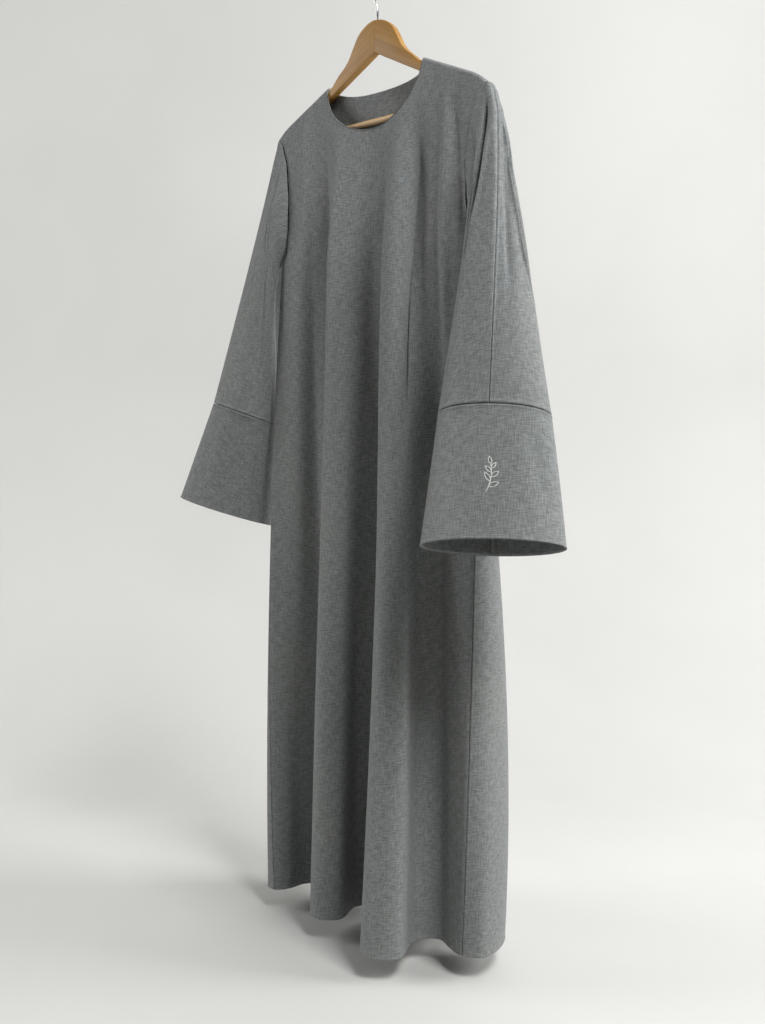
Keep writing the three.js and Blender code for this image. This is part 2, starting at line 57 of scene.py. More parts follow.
def placeCamera():
    yaw, pitch, roll = view["yaw"], view["pitch"], view["roll"]
    ahead = Vector((math.sin(yaw) * math.cos(pitch), math.cos(yaw) * math.cos(pitch), math.sin(pitch)))
    level = Vector((math.cos(yaw), -math.sin(yaw), 0))
    above = level.cross(ahead)
    right = level * math.cos(roll) + above * math.sin(roll)
    up = above * math.cos(roll) - level * math.sin(roll)
    data = bpy.data.cameras.new("camera")
    data.sensor_width = view["sensor"]
    data.lens = view["focalPixels"] / view["pictureHeight"] * view["sensor"]
    data.clip_start = 0.01
    camera = bpy.data.objects.new("camera", data)
    camera.matrix_world = Matrix.Translation(view["place"]) @ Matrix((right, up, -ahead)).transposed().to_4x4()
    bpy.context.scene.collection.objects.link(camera)
    bpy.context.scene.camera = camera


placeCamera()


def tableRows(columns, *rows):
    return [dict(zip(columns, row)) for row in rows]


# Sizes of the cloth's shape.
body = {
    "neckHalf": 102,
    "neckPointDrop": 162,
    "shoulderHalf": 222,
    "shoulderTipDrop": 218,
    "shoulderLean": 0.02,
    "frontNeckDrop": 250,
    "backNeckDrop": 189,
    "underarmDrop": 445,
    "hemDrop": 1534,
    "standoff": 8.3,  # face of the cloth from the hanger's middle plane
    "shoulderRound": 5,
    "seamGap": 0.3,
    "lap": 2.3,  # how far a sleeve's edge stands off the panel's edge under it
    "cutPower": 5,
    "chestFlankShare": 0.28,
    "backSwellPower": 1.5,
    "backSwellScale": 5.4,
    "tipShare": 0.05,
    "underarmShare": 0.9,
}

armholeRows = tableRows(("drop", "half"), (218, 222), (240, 207), (275, 195), (330, 189), (385, 189),
                        (425, 196), (445, 212))

# Folds of the body, from the right side seam across the front to the left one and back across the back: the
# middle of each at the underarm and at the hem, half its width at both, how far it stands from its flanks
# before and after, how far it swells sideways and backwards halfway down, and how long the cloth stays flat.
foldRows = tableRows(
    ("fold", "chest", "hem", "half", "flank", "swell", "stiff"),
    ("right side seam", (-214, 0), (-198, -17), None, None, (-22, 0), 6),
    ("right front corner", (-203, -9), (-184, 6), None, None, (-16, 0), 4),
    ("right front hollow", (-130, -8), (-138, 74), (26, 40), (-32, -32), (-8, 0), 1),
    ("right front column", (-62, -34), (-62, -53), (24, 33), (26, 26), (0, 0), 1),
    ("middle front hollow", (5, -8), (3, 70), (26, 48), (-36, -36), (2, 0), 1),
    ("left front column", (72, -36), (97, -98), (26, 38), (29, 29), (6, 0), 1),
    ("left front hollow", (136, -10), (138, 30), (22, 26), (-28, -11), (4, 0), 1),
    ("left front corner", (203, -9), (184, 11), None, None, (6, 0), 4),
    ("left side seam", (212, 0), (198, 9), None, None, (5, 0), 6),
    ("left back corner", (205, 9), (226, 25), None, None, (4, 12), 4),
    ("left back column", (172, 24), (196, 119), (18, 27), (-42, -22), (3, 32), 1),
    ("left back hollow", (120, 9), (136, 68), (20, 27), (28, 28), (3, 26), 1),
    ("left middle back column", (62, 32), (70, 146), (22, 34), (-27, -24), (0, 26), 1),
    ("middle back hollow", (4, 10), (2, 104), (20, 22), (14, 14), (0, 22), 1),
    ("right middle back column", (-58, 33), (-66, 150), (24, 38), (-26, -26), (0, 24), 1),
    ("right back hollow", (-124, 9), (-142, 104), (20, 27), (15, 15), (-6, 20), 1),
    ("right back column", (-176, 22), (-202, 142), (16, 27), (-20, -38), (-12, 20), 1),
    ("right back side", (-202, 12), (-236, 42), None, None, (-14, 8), 3),
    ("right back corner", (-210, 5), (-222, -11), None, None, (-18, 0), 5),
)

# Each sleeve hangs from its armhole to a ring at the cuff seam and one at the cuff's edge. fullness says, by
# degrees round it, how far it stands out and back, and how far down that is most.
fullnessColumns = ("around", "out", "back", "peak")
sleeves = {
    "left": {
        "side": 1,
        "seam": {"x": 297, "y": -84, "drop": 693, "facing": 26, "depth": 86, "halfWidth": 81, "tilt": 30},
        "hem": {"x": 339, "y": -124, "drop": 876, "facing": 37, "depth": 106, "halfWidth": 101, "tilt": 33},
        "fullness": [(0, 10, 7, 0.25), (40, 18, 0, 0.2), (80, 24, -6, 0.19), (130, 14, -14, 0.16),
                     (180, 9, 0, 0.2), (220, 14, 22, 0.18), (255, 27, 29, 0.2), (290, 36, 24, 0.18),
                     (325, 34, 18, 0.12), (345, 22, 13, 0.13)],
    },
    "right": {
        "side": -1,
        "seam": {"x": -348, "y": -39, "drop": 678, "facing": -48, "depth": 118, "halfWidth": 62, "tilt": 40},
        "hem": {"x": -420, "y": -56, "drop": 849, "facing": -48, "depth": 172, "halfWidth": 66, "tilt": 50},
        "fullness": [(0, -4, 2, 0.3), (45, 5, -8, 0.22), (90, 12, -19, 0.16), (135, 14, -22, 0.2),
                     (180, 15, 0, 0.25), (220, 12, 20, 0.2), (265, 12, 22, 0.18), (315, 1, 12, 0.25)],
    },
}


def lerp(a, b, part):
    return a + (b - a) * part


def clamp(value, low=0.0, high=1.0):
    return min(max(value, low), high)


def smoothstep(value, low, high):
    part = clamp((value - low) / (high - low))
    return part * part * (3 - 2 * part)


def lookUp(rows, column, place, at):
    for here, after in zip(rows, rows[1:]):
        if at <= after[place] or after is rows[-1]:
            part = (at - here[place]) / (after[place] - here[place])
            return lerp(here[column], after[column], clamp(part))


def foldPoints():
    points = []
    frontCount = next(i for i, row in enumerate(foldRows) if row["fold"] == "left side seam")
    for index, row in enumerate(foldRows):
        heading = 1 if index < frontCount else -1
        for step in (-1, 0, 1) if row["half"] else (0,):
            half = row["half"] or (0, 0)
            flank = 0 if step == 0 else row["flank"][0 if step < 0 else 1]
            points.append({
                "fold": row["fold"],
                "chest": (row["chest"][0] + heading * step * half[0],
                          row["chest"][1] + body["chestFlankShare"] * flank),
                "hem": (row["hem"][0] + heading * step * half[1], row["hem"][1] + flank),
                "swell": row["swell"],
                "stiff": row["stiff"],
            })
    return points


foldRing = foldPoints()
ringCount = len(foldRing)
leftSeam = next(i for i, point in enumerate(foldRing) if point["fold"] == "left side seam")
chestHalf = {-1: -foldRing[0]["chest"][0], 1: foldRing[leftSeam]["chest"][0]}


def centripetal(points, part):
    knots = [0.0]
    for a, b in zip(points, points[1:]):
        knots.append(knots[-1] + math.sqrt(math.hypot(b[0] - a[0], b[1] - a[1])))
    at = lerp(knots[1], knots[2], part)

    def blend(a, b, low, high):
        share = (at - low) / (high - low)
        return (lerp(a[0], b[0], share), lerp(a[1], b[1], share))

    first = [blend(points[i], points[i + 1], knots[i], knots[i + 1]) for i in range(3)]
    second = [blend(first[i], first[i + 1], knots[i], knots[i + 2]) for i in range(2)]
    return blend(second[0], second[1], knots[1], knots[2])


def ringAt(place, share):
    index = math.floor(place)
    rise = 4 * share * (1 - share)
    backRise = body["backSwellScale"] * share ** body["backSwellPower"] * (1 - share)
    around = []
    for offset in (-1, 0, 1, 2):
        row = foldRing[(index + offset) % ringCount]
        around.append((lerp(row["chest"][0], row["hem"][0], share) + row["swell"][0] * rise,
                       lerp(row["chest"][1], row["hem"][1], share) + row["swell"][1] * backRise))
    return centripetal(around, place - index)


def stiffnessAt(place):
    index = math.floor(place)
    return lerp(foldRing[index % ringCount]["stiff"], foldRing[(index + 1) % ringCount]["stiff"], place - index)


def shoulderDrop(x):
    slope = (body["shoulderTipDrop"] - body["neckPointDrop"]) / (body["shoulderHalf"] - body["neckHalf"])
    return body["neckPointDrop"] + (abs(x) - body["neckHalf"]) * slope - x * body["shoulderLean"]


def topDrop(x, face):
    if abs(x) >= body["neckHalf"]:
        return shoulderDrop(x)
    level = body["neckPointDrop"] - x * body["shoulderLean"]
    lowest = body["frontNeckDrop"] if face < 0 else body["backNeckDrop"]
    return level + (lowest - level) * math.sqrt(1 - (x / body["neckHalf"]) ** 2)


def bodyPoint(place, down, face):
    chestX, chestY = ringAt(place, 0)
    side = chestHalf[-1 if chestX < 0 else 1]
    underarm, tip, half = body["underarmDrop"], body["shoulderTipDrop"], body["shoulderHalf"]
    drop = lerp(topDrop(chestX * (half / side), face), body["hemDrop"], down)
    if drop >= underarm:
        x, y = ringAt(place, (drop - underarm) / (body["hemDrop"] - underarm))
        return Vector((x, y, -drop))
    lowered = clamp((drop - tip) / (underarm - tip))
    cut = lookUp(armholeRows, "half", "drop", drop) - lerp(half, armholeRows[-1]["half"], lowered)
    outward = abs(chestX) / side
    x = chestX * (lerp(half, side, lowered) / side)
    x += math.copysign(1, chestX) * cut * outward ** body["cutPower"]
    line = shoulderDrop(x)
    wrapped = math.sqrt(1 - (1 - clamp((drop - line) / body["shoulderRound"])) ** 2)
    level = max(line, body["neckPointDrop"])
    fall = clamp((drop - level) / (underarm - level)) ** stiffnessAt(place)
    y = lerp(face * body["standoff"], chestY, fall) * wrapped
    return Vector((x, y if wrapped > 0 else face * body["seamGap"] / 2, -drop))


def armholePoint(side, share, face):
    tipDrop = shoulderDrop(side * body["shoulderHalf"])
    down = share * (body["underarmDrop"] - tipDrop) / (body["hemDrop"] - tipDrop)
    start, stop = (0, leftSeam) if face < 0 else (leftSeam, ringCount)
    place = stop if (side > 0) == (face < 0) else start
    point = bodyPoint(place, down, face)
    inner = place - 1e-3 if place == stop else place + 1e-3
    across = (point - bodyPoint(inner, down, face)) * (1 if place == stop else -1)
    along = bodyPoint(place, down + 1e-3, face) - bodyPoint(place, max(down - 1e-3, 0), face)
    outward = along.cross(across).normalized()
    atTip = 1 - smoothstep(share, 0, body["tipShare"])
    atUnderarm = smoothstep(share, body["underarmShare"], 1)
    outward = outward.lerp(Vector((side, 0, 0)), max(atTip, atUnderarm)).normalized()
    point.y *= 1 - atUnderarm
    return point + outward * body["lap"] + Vector((side * body["seamGap"], 0, 0))


def ringPoint(ring, angle):
    facing = math.radians(ring["facing"])
    outward = Vector((math.sin(facing), -math.cos(facing), 0))
    forward = Vector((-math.cos(facing), -math.sin(facing), 0)) * math.copysign(1, ring["x"])
    inwards = (1 - math.cos(angle)) / 2
    place = Vector((ring["x"], ring["y"], -ring["drop"] - ring["tilt"] * inwards))
    return place - outward * ring["depth"] * inwards + forward * ring["halfWidth"] * math.sin(angle)


def aroundSleeve(rows, column, degrees):
    turn = degrees % 360
    index = bisect.bisect_right([row[0] for row in rows], turn) - 1
    after = rows[index + 1][0] if index + 1 < len(rows) else 360
    t = (turn - rows[index][0]) / (after - rows[index][0])
    at = fullnessColumns.index(column)
    a, b, c, d = [rows[(index + offset) % len(rows)][at] for offset in (-1, 0, 1, 2)]
    return b + 0.5 * t * (c - a + t * (2 * a - 5 * b + 4 * c - d + t * (3 * (b - c) + d - a)))


armholeEdges = {}


def sleevePoint(sleeve, degrees, down):
    key = (sleeve["side"], degrees)
    if key not in armholeEdges:
        turn = degrees % 360
        front = turn <= 180
        share = turn / 180 if front else 2 - turn / 180
        armholeEdges[key] = (
            armholePoint(sleeve["side"], share, -1 if front else 1),
            ringPoint(sleeve["seam"], math.radians(degrees)),
            *(aroundSleeve(sleeve["fullness"], column, degrees) for column in ("out", "back", "peak")),
        )
    start, end, out, back, peak = armholeEdges[key]
    full = math.sin(math.pi * down ** (math.log(0.5) / math.log(peak)))
    return start.lerp(end, down) + Vector((sleeve["side"] * out * full, back * full, 0))


def cuffPoint(sleeve, degrees, down):
    ring = {key: lerp(sleeve["seam"][key], sleeve["hem"][key], down) for key in sleeve["seam"]}
    return ringPoint(ring, math.radians(degrees))


# A crease is a soft ridge, or a trough where its depth is below 0, between two places on its piece. Places are
# (x, drop) on the body and (degrees round, millimetres down) on a sleeve or cuff. A row gives its start, its
# stop, how wide and how deep it is, how far it bows, its power (2 is soft, 1 is sharp), and the shares of its
# length over which it starts and ends.
creases = {
    "front": [
        ((72, 236), (80, 760), 15, 10, 0, 2, (0.25, 0.6)),
        ((101, 208), (101, 900), 16, -19, 0, 2, (0.2, 0.6)),
        ((150, 190), (157, 640), 9, 6, 0, 2, (0.25, 0.4)),
        ((165, 208), (192, 450), 8, -5.5, -4, 1.5, (0.3, 0.3)),
        ((-122, 220), (-114, 262), 5, -1.8, 0, 2, (0.4, 0.4)),
        ((-100, 222), (-104, 1240), 18, -18, 0, 2, (0.2, 0.7)),
        ((-62, 230), (-58, 900), 10, 7, 0, 1.6, (0.25, 0.6)),
        ((30, 256), (24, 960), 14, -8.5, 0, 1.8, (0.25, 0.6)),
        ((58, 252), (58, 960), 8, 6, 0, 1.4, (0.25, 0.6)),
        ((-38, 300), (-34, 800), 13, 2.6, 3, 2, (0.4, 0.4)),
        ((-166, 262), (-178, 560), 8, -2, 4, 1.6, (0.3, 0.4)),
        ((-186, 320), (-197, 600), 7, 2.4, 0, 2, (0.4, 0.4)),
    ],
    "back": [
        ((-96, 214), (-118, 700), 11, -5.4, 3, 1.6, (0.35, 0.5)),
        ((-70, 206), (-60, 680), 13, 4.2, 0, 2, (0.3, 0.5)),
        ((30, 230), (22, 760), 10, -4.6, -3, 1.7, (0.35, 0.5)),
        ((62, 222), (66, 600), 12, 4.4, 0, 2, (0.3, 0.5)),
        ((112, 236), (121, 760), 9, -5.8, 2, 1.6, (0.3, 0.5)),
        ((158, 210), (189, 450), 7, -4.0, -4, 1.5, (0.3, 0.35)),
        ((-158, 226), (-192, 450), 7, -4.2, 4, 1.5, (0.25, 0.35)),
    ],
    "leftSleeve": [
        ((8, 12), (80, 215), 6, -16, -7, 1.5, (0.22, 0.25)),
        ((-3, 30), (60, 225), 8, 5, -7, 1.8, (0.3, 0.3)),
        ((60, 20), (90, 150), 3.2, -6, 2, 1.5, (0.2, 0.3)),
        ((30, 24), (66, 110), 5, 2.0, -2, 2, (0.35, 0.4)),
        ((40, 22), (70, 120), 5, 1.8, -2, 2, (0.2, 0.4)),
        ((357, 40), (284, 300), 4.2, 4.2, 3, 1.3, (0.15, 0.3)),
        ((344, 46), (266, 290), 9, -4.2, 3, 2, (0.2, 0.3)),
        ((352, 100), (334, 330), 9, -2.4, 0, 2, (0.35, 0.4)),
        ((238, 40), (214, 240), 8, -4.0, 4, 1.7, (0.3, 0.4)),
        ((140, 60), (116, 260), 7, -3.0, -3, 1.7, (0.3, 0.4)),
        ((34, 240), (38, 470), 16, -2.2, 0, 2, (0.4, 0.1)),
    ],
    "rightSleeve": [
        ((24, 16), (80, 110), 3.4, -5.0, 3, 1.5, (0.35, 0.35)),
        ((50, 20), (110, 130), 6, 2.4, 0, 2, (0.35, 0.4)),
        ((128, 50), (108, 430), 9, -4.6, 5, 1.7, (0.3, 0.4)),
        ((60, 130), (58, 400), 13, -2.6, -4, 2, (0.4, 0.4)),
        ((330, 24), (288, 260), 5, -5.0, 6, 1.5, (0.2, 0.35)),
        ((316, 30), (272, 280), 6, 3.0, 5, 1.6, (0.2, 0.35)),
        ((232, 50), (206, 290), 8, -3.6, -3, 1.8, (0.3, 0.4)),
    ],
    "leftCuff": [
        ((28, 0), (36, 180), 18, -2.0, 0, 2, (0.1, 0.4)),
        ((-40, 10), (-52, 170), 13, -1.6, 2, 2, (0.3, 0.4)),
        ((130, 0), (118, 175), 14, -2.0, 0, 2, (0.1, 0.4)),
    ],
    "rightCuff": [
        ((100, 0), (92, 170), 14, -2.2, 0, 2, (0.1, 0.4)),
        ((45, 12), (52, 165), 13, -1.6, 3, 2, (0.3, 0.4)),
        ((250, 0), (262, 175), 15, -1.8, 0, 2, (0.1, 0.4)),
    ],
}
sleeveLength = 480
degreeLength = 1.5  # millimetres of cloth for each degree round a sleeve
creaseReach = 3.2  # widths from its middle at which a crease ends


def creaseDepth(rows, a, b, stretch=1.0):
    total = 0.0
    for (startA, startB), (stopA, stopB), wide, deep, bend, power, fade in rows:
        spanA, spanB = (stopA - startA) * stretch, stopB - startB
        length = math.hypot(spanA, spanB)
        offA, offB = (a - startA) * stretch, b - startB
        part = (offA * spanA + offB * spanB) / length ** 2
        if not 0 < part < 1:
            continue
        away = (offA * spanB - offB * spanA) / length - bend * math.sin(math.pi * part)
        if abs(away) > creaseReach * wide:
            continue
        ends = smoothstep(part, 0, fade[0]) * (1 - smoothstep(part, 1 - fade[1], 1))
        total += deep * ends * math.exp(-((abs(away) / wide) ** power))
    return total


# The same round a sleeve, where a crease may run on past 0 or 360 degrees.
def sleeveCrease(rows, degrees, along):
    turn = degrees % 360
    return sum(creaseDepth(rows, turn + whole, along, degreeLength) for whole in (-360, 0, 360))


# Profiles of an edge, from its end to the flat cloth: how far along the cloth and how far out, in mm.
edges = {
    "seam": [(0, -8), (0.3, -4.5), (0.4, -2.6), (0.7, -1.4), (1.4, -0.5), (2.6, 0.1), (4.2, 0.25)],
    "ditch": [(0, -8), (0.2, -4.4), (0.3, -2.4), (0.5, -1.2), (1.1, -0.4), (2.3, 0.2), (4.2, 0.45)],
    "lap": [(0, -2.3), (0.15, -1.7), (0.7, -0.8), (1.6, -0.25), (3.0, 0.1)],
    "turned": [(0, -0.75), (0.1, -0.2), (0.5, 0.45), (1.6, 0.7), (3.2, 0.15)],
}
edgeShare = 0.8  # the most that an edge takes of the first step of the grid


def crossGrid(points):
    columns, rows = len(points), len(points[0])
    normals = []
    for i in range(columns):
        line = []
        for j in range(rows):
            across = points[min(i + 1, columns - 1)][j] - points[max(i - 1, 0)][j]
            along = points[i][min(j + 1, rows - 1)] - points[i][max(j - 1, 0)]
            line.append(along.cross(across).normalized())
        normals.append(line)
    return normals


# Shapes the start of each line of points as an edge. amounts says how strongly, line by line.
def addEdge(lines, normals, profile, amounts):
    newLines, newNormals = [], []
    for line, normal, amount in zip(lines, normals, amounts):
        first, out = line[0], normal[0]
        step = line[1] - line[0]
        reach = min(1.0, edgeShare * step.length / profile[-1][0])
        heading = step.normalized()
        made = [first + heading * (along * reach) + out * (up * amount) for along, up in profile]
        newLines.append(made + line[1:])
        newNormals.append([out] * len(profile) + normal[1:])
    return newLines, newNormals


def transposed(grid):
    return [list(line) for line in zip(*grid)]


def backwards(grid):
    return [line[::-1] for line in grid]


def edged(points, normals, kinds, amounts):
    rows, columns = transposed(points), transposed(normals)
    for turn, kind in enumerate(kinds[:2]):
        amount = amounts.get(turn, [1] * len(rows))
        if turn:
            rows, columns = backwards(rows), backwards(columns)
        rows, columns = addEdge(rows, columns, edges[kind], amount)
        if turn:
            rows, columns = backwards(rows), backwards(columns)
    points, normals = transposed(rows), transposed(columns)
    for turn, kind in enumerate(kinds[2:]):
        amount = amounts.get(turn + 2, [1] * len(points))
        if len(amount) < len(points):
            pad = len(points) - len(amount)
            front = len(edges[kinds[0]]) - 1
            amount = [amount[0]] * front + list(amount) + [amount[-1]] * (pad - front)
        if turn:
            points, normals = backwards(points), backwards(normals)
        points, normals = addEdge(points, normals, edges[kind], amount)
        if turn:
            points, normals = backwards(points), backwards(normals)
    return points, normals


# How thick the cloth is, plain and turned up double, and how deep the hem is.
shell = {"single": 1.1, "double": 2.0, "hemDepth": 34}
shoulderTip = {"reach": 32, "below": 46, "lowered": 7.5}


# Lets the cloth round off over the end of the shoulder.
def overTip(point):
    tip = Vector((math.copysign(body["shoulderHalf"], point.x), 0, -shoulderDrop(point.x)))
    across = 1 - max(abs(tip.x) - abs(point.x), 0) / shoulderTip["reach"]
    below = 1 - (tip.z - point.z) / shoulderTip["below"]
    if across > 0 and below > 0:
        point.z -= shoulderTip["lowered"] * across ** 2 * smoothstep(below, 0, 1)
    return point


def selectOnly(piece):
    bpy.ops.object.select_all(action="DESELECT")
    bpy.context.view_layer.objects.active = piece
    piece.select_set(True)


def applyModifier(piece, modifier):
    selectOnly(piece)
    bpy.ops.object.modifier_apply(modifier=modifier.name)


# Makes a piece of cloth from a grid of outer points. doubled(point) says where it is turned up double, and
# grain is the way its warp runs.
def clothPiece(name, points, doubled, middle, grain):
    columns, rows = len(points), len(points[0])
    across = [[0.0] * rows for _ in range(columns)]
    for j in range(rows):
        for i in range(middle + 1, columns):
            across[i][j] = across[i - 1][j] + (points[i][j] - points[i - 1][j]).length
        for i in range(middle - 1, -1, -1):
            across[i][j] = across[i + 1][j] - (points[i][j] - points[i + 1][j]).length
    flat = [point for line in points for point in line]
    mesh = bpy.data.meshes.new(name)
    faces = []
    for i in range(columns - 1):
        for j in range(rows - 1):
            here = i * rows + j
            faces.append((here, here + 1, here + rows + 1, here + rows))
    mesh.from_pydata([point * mm for point in flat], [], faces)
    layer = mesh.uv_layers.new(name="cloth")
    flatAcross = [value * mm for line in across for value in line]
    flatDown = [point.dot(grain) * mm for point in flat]
    for loop in mesh.loops:
        layer.data[loop.index].uv = (flatAcross[loop.vertex_index], flatDown[loop.vertex_index])
    piece = bpy.data.objects.new(name, mesh)
    bpy.context.scene.collection.objects.link(piece)
    group = piece.vertex_groups.new(name="doubled")
    twice = [i for i, point in enumerate(flat) if doubled(point)]
    group.add(range(len(flat)), shell["single"] / shell["double"], "REPLACE")
    group.add(twice, 1.0, "REPLACE")
    wall = piece.modifiers.new("wall", "SOLIDIFY")
    wall.thickness = shell["double"] * mm
    wall.offset = -1
    wall.vertex_group = "doubled"
    applyModifier(piece, wall)
    bpy.ops.object.shade_smooth()
    return piece


def spread(start, stop, steps):
    return [lerp(start, stop, step / steps) for step in range(steps + 1)]


panels = {
    "front": {"face": -1, "start": 0, "stop": leftSeam, "columnsPerFold": 12, "rows": 124},
    "back": {"face": 1, "start": leftSeam, "stop": ringCount, "columnsPerFold": 8, "rows": 118},
    "shoulderRows": [0, 0.0004, 0.001, 0.0018, 0.0028, 0.0042],
    "plainRowsFrom": 0.0065,
    "tipSeam": (0.06, 0.004, 0.04),  # how deep the side edges are at the tip, and where they grow to full depth
    "neckStep": 7,  # degrees round the neckline between columns
    "columnGap": 0.035,
}


def placeAt(x, start, stop):
    low, high = start, stop
    for _ in range(40):
        middle = (low + high) / 2
        chestX = ringAt(middle, 0)[0]
        topX = chestX * (body["shoulderHalf"] / chestHalf[-1 if chestX < 0 else 1])
        if (topX < x) == (stop == leftSeam):
            low = middle
        else:
            high = middle
    return (low + high) / 2


def panelColumns(panel):
    start, stop = panel["start"], panel["stop"]
    count = 180 // panels["neckStep"]
    turns = [math.pi * step / count for step in range(count + 1)]
    necks = [placeAt(body["neckHalf"] * math.cos(turn), start, stop) for turn in turns]
    plain = [place for place in spread(start, stop, (stop - start) * panel["columnsPerFold"])
             if all(abs(place - other) > panels["columnGap"] for other in necks)]
    return sorted(plain + necks)


def seamDepths(downs, atTip, start, stop):
    return [lerp(atTip, 1, smoothstep(down, start, stop)) for down in downs]


def bodyPanel(key, name):
    panel = panels[key]
    places = panelColumns(panel)
    downs = panels["shoulderRows"] + spread(panels["plainRowsFrom"], 1, panel["rows"])
    points = [[bodyPoint(place, down, panel["face"]) for down in downs] for place in places]
    normals = crossGrid(points)
    rows = creases[key]
    moved = [[overTip(point + normal * creaseDepth(rows, point.x, -point.z)) for point, normal in zip(line, out)]
             for line, out in zip(points, normals)]
    neck = [1.0 if abs(line[0].x) < body["neckHalf"] - 0.5 else 0.0 for line in points]
    middle = min(range(len(points)), key=lambda i: abs(points[i][-1].x))
    fromTip = seamDepths(downs, *panels["tipSeam"])
    amounts = {0: fromTip, 1: fromTip, 2: neck}
    points, normals = edged(moved, normals, ("seam", "seam", "turned", "turned"), amounts)
    middle += len(edges["seam"]) - 1
    hemTop = body["hemDrop"] - shell["hemDepth"]
    return clothPiece(name, points, lambda point: -point.z > hemTop, middle, Vector((0, 0, -1)))


tube = {"columns": 132, "rows": 110, "rowPower": 1.15, "cuffColumns": 150, "cuffRows": 48,
        "tipSeam": (0.1, 0, 0.08)}


def sleeveGrain(sleeve):
    return (cuffPoint(sleeve, 0, 1) - cuffPoint(sleeve, 0, 0)).normalized()


def sleeveHalf(key, name, front):
    sleeve = sleeves[key]
    begin = 0 if front else 180
    turns = spread(begin, begin + 180, tube["columns"])
    if sleeve["side"] > 0:
        turns.reverse()
    downs = [(step / tube["rows"]) ** tube["rowPower"] for step in range(tube["rows"] + 1)]
    points = [[sleevePoint(sleeve, turn, down) for down in downs] for turn in turns]
    normals = crossGrid(points)
    rows = creases[key + "Sleeve"]
    moved = [[overTip(point + out * sleeveCrease(rows, turn, down * sleeveLength))
              for point, out, down in zip(line, outs, downs)]
             for line, outs, turn in zip(points, normals, turns)]
    fromTip = seamDepths(downs, *tube["tipSeam"])
    amounts = {0: fromTip, 1: fromTip}
    points, normals = edged(moved, normals, ("seam", "seam", "lap", "ditch"), amounts)
    return clothPiece(name, points, lambda point: False, len(points) // 2, sleeveGrain(sleeve))


def cuff(key, name):
    sleeve = sleeves[key]
    turns = spread(180, 180 - sleeve["side"] * 360, tube["cuffColumns"])
    downs = spread(0, 1, tube["cuffRows"])
    points = [[cuffPoint(sleeve, turn, down) for down in downs] for turn in turns]
    normals = crossGrid(points)
    rows = creases[key + "Cuff"]
    length = (points[0][-1] - points[0][0]).length
    moved = [[point + out * sleeveCrease(rows, turn, down * length)
              for point, out, down in zip(line, outs, downs)]
             for line, outs, turn in zip(points, normals, turns)]
    points, normals = edged(moved, normals, ("seam", "seam", "ditch", "turned"), {})
    return clothPiece(name, points, lambda point: True, len(points) // 2, sleeveGrain(sleeve))


clothPieces = {
    "front_panel": bodyPanel("front", "front"),
    "back_panel": bodyPanel("back", "back"),
}
print("stage: body panels made")
for key in sleeves:
    clothPieces[key + "_sleeve_front"] = sleeveHalf(key, key + "_sleeve_front_cloth", True)
    clothPieces[key + "_sleeve_back"] = sleeveHalf(key, key + "_sleeve_back_cloth", False)
    clothPieces[key + "_cuff"] = cuff(key, key + "_cuff_cloth")
print("stage: sleeves and cuffs made")

# Sizes of the hanger. A station is a place along an arm where its outline is set.
hanger = {
    "crownDrop": 80,
    "crownEnd": 80,
    "thick": 12,
    "round": 3,
    "archBelow": 50.5,
    "archSlope": 0.52,
    "neckX": 100,
    "tipX": 202,
    "jointGap": 0.15,
    "neckClearance": 4.6,  # from the outside of the cloth down to the wood
    "shoulderClearance": 5,
    "stations": (3, 6, 9, 12, 15, 18, 21, 24, 27, 30, 33, 36, 39, 42, 45, 48, 51, 54, 57, 60, 64, 68, 73, 79,
                 86, 93, 100, 115, 132, 146, 156, 166, 176, 186, 194, 200, 204.5, 207.5, 209),
    "barRadius": 5.2,
    "barDrop": 237.5,
    "barHalf": 190,
    "socketGap": 0.3,
}
crownRows = tableRows(("x", "below"), (-20, 5), (0, 0), (20, 5), (36, 17), (47, 34), (57, 51), (70, 64),
                      (86, 75), (100, 80.5))
tipUpperRows = tableRows(("x", "raised"), (194, 0), (200, -0.6), (204.5, -3.4), (207.5, -8.5), (209, -14))
tipLowerRows = tableRows(("x", "drop"), (100, 182.5), (146, 212), (156, 222.5), (166, 234), (176, 243),
                         (186, 247.3), (194, 248.2), (200, 247), (204.5, 243.6), (207.5, 238), (209, 231.5))


# How far below the crown its upper edge is, on a smooth line through the rows.
def crownBelow(x):
    index = max(i for i, row in enumerate(crownRows[:-1]) if row["x"] <= x)
    here, after = crownRows[index], crownRows[index + 1]
    before = crownRows[max(index - 1, 0)]
    beyond = crownRows[min(index + 2, len(crownRows) - 1)]
    span = after["x"] - here["x"]
    slopeHere = (after["below"] - before["below"]) / (after["x"] - before["x"]) * span
    slopeAfter = (beyond["below"] - here["below"]) / (beyond["x"] - here["x"]) * span
    t = (x - here["x"]) / span
    return (here["below"] * (1 + 2 * t) * (1 - t) ** 2 + slopeHere * t * (1 - t) ** 2
            + after["below"] * t * t * (3 - 2 * t) - slopeAfter * t * t * (1 - t))


def armUpper(x, side):
    crownEnd, neckX, tipX = hanger["crownEnd"], hanger["neckX"], hanger["tipX"]
    part = clamp((x - neckX) / (tipX - neckX))
    under = lerp(hanger["neckClearance"], hanger["shoulderClearance"], part)
    height = -shoulderDrop(side * max(x, body["neckHalf"])) - under
    if x < neckX:
        height = lerp(-hanger["crownDrop"] - crownBelow(x), height, smoothstep(x, crownEnd, neckX))
    return height + lookUp(tipUpperRows, "raised", "x", x)


def armLower(x):
    if x <= hanger["neckX"]:
        return -hanger["crownDrop"] - hanger["archBelow"] - hanger["archSlope"] * x
    return -lookUp(tipLowerRows, "drop", "x", x)


def startPiece(name):
    piece = bpy.context.object
    piece.name = name
    piece.data.name = name
    bpy.ops.object.transform_apply(location=True, rotation=True, scale=True)
    return piece


